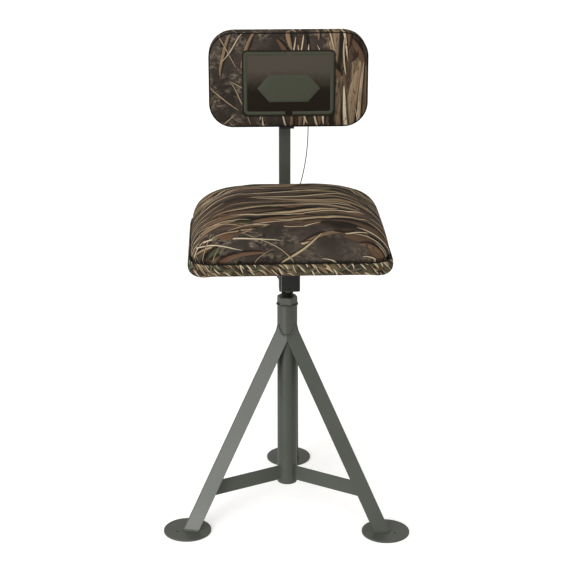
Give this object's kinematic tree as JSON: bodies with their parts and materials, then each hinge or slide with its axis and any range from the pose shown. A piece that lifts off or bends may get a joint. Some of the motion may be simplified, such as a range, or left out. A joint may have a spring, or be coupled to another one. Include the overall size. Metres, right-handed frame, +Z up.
{
  "type": "tripod stool",
  "caption": "Tall swivel stool on a welded steel tripod, with a padded seat, a padded backrest on a post, and flat discs for feet.",
  "frame": {"origin": "on the ground, at the middle of the footprint box of the whole stool", "axes": "+Z up; +Y towards the back leg and the backrest; +X to the right as seen from the front"},
  "size_m": [0.5218, 0.4774, 1.017],
  "materials": {
    "powder_coat": "satin olive-grey powder coat, fine texture",
    "black_paint": "semi-gloss black paint",
    "zinc": "zinc plated",
    "dark_steel": "blackened, oiled steel",
    "nylon": "natural nylon",
    "black_plastic": "moulded black plastic",
    "camo_cloth": "printed reed camouflage stretch cloth",
    "camo_band": "printed reed camouflage band, smaller pattern",
    "foam": "open-cell foam",
    "plywood": "raw plywood",
    "badge": "embroidered patch",
    "cable": "plastic-coated steel cable"
  },
  "bodies": {
    "tripod": {"brace_back": "powder_coat", "brace_left": "powder_coat", "brace_right": "powder_coat", "column_nut": "powder_coat", "column_tube": "powder_coat", "foot_back": "powder_coat", "foot_left": "powder_coat", "foot_right": "powder_coat", "leg_back": "powder_coat", "leg_left": "powder_coat", "leg_right": "powder_coat"},
    "stem": {"threaded_stem": "dark_steel", "thrust_washer": "zinc", "swivel_washer": "zinc", "swivel_bolt": "zinc", "stop_washer": "zinc", "stop_bolt": "zinc"},
    "seat": {"swivel_housing": "black_paint", "side_gusset": "black_paint", "lower_bush": "nylon", "upper_bush": "nylon", "bush_set_screw": "dark_steel", "seat_plate": "black_paint", "seat_bolt_1": "zinc", "seat_bolt_2": "zinc", "seat_bolt_3": "zinc", "seat_bolt_4": "zinc", "seat_board": "plywood", "seat_band": "camo_band", "seat_foam": "foam", "seat_cover": "camo_cloth", "back_arm": "black_paint", "post_receiver": "black_paint", "clamp_nut": "zinc", "tether_lug": "black_paint", "tether_ferrule_low": "zinc", "tether": "cable"},
    "clamp": {"clamp_screw": "zinc", "clamp_knob": "black_plastic"},
    "back_post": {"back_post": "powder_coat", "post_top_plug": "black_plastic", "post_foot_plug": "black_plastic", "tether_tab": "black_paint", "tab_screw": "zinc", "tether_ferrule_top": "zinc"},
    "backrest": {"backrest_board": "black_plastic", "backrest_foam": "foam", "backrest_cover": "camo_cloth", "badge_patch": "badge", "hinge_plate": "black_paint", "pivot_bracket": "black_paint", "pivot_bolt": "zinc", "pivot_nut": "zinc", "pivot_washer_left": "zinc", "pivot_washer_right": "zinc", "back_screw_1": "zinc", "back_screw_2": "zinc", "back_screw_3": "zinc", "back_screw_4": "zinc"}
  },
  "joints": [
    {"name": "seat_height", "type": "slide", "parent": "tripod", "child": "stem", "axis": [0, 0, 1], "range_m": [-0.012, 0.11]},
    {"name": "seat_swivel", "type": "hinge", "parent": "stem", "child": "seat", "pos_m": [0, -0.05477, 0.505], "axis": [0, 0, 1], "continuous": true},
    {"name": "clamp_turn", "type": "hinge", "parent": "seat", "child": "clamp", "pos_m": [-0.00871, 0.16307, 0.602], "axis": [-0.0523, 0.9986, 0], "range_deg": [0, 360]},
    {"name": "back_height", "type": "slide", "parent": "seat", "child": "back_post", "axis": [0, 0, 1], "range_m": [-0.045, 0], "deforming": ["tether"]},
    {"name": "back_tilt", "type": "hinge", "parent": "back_post", "child": "backrest", "pos_m": [-0.00871, 0.16307, 0.868], "axis": [-0.9986, -0.0523, 0], "range_deg": [-5, 12]}
  ]
}
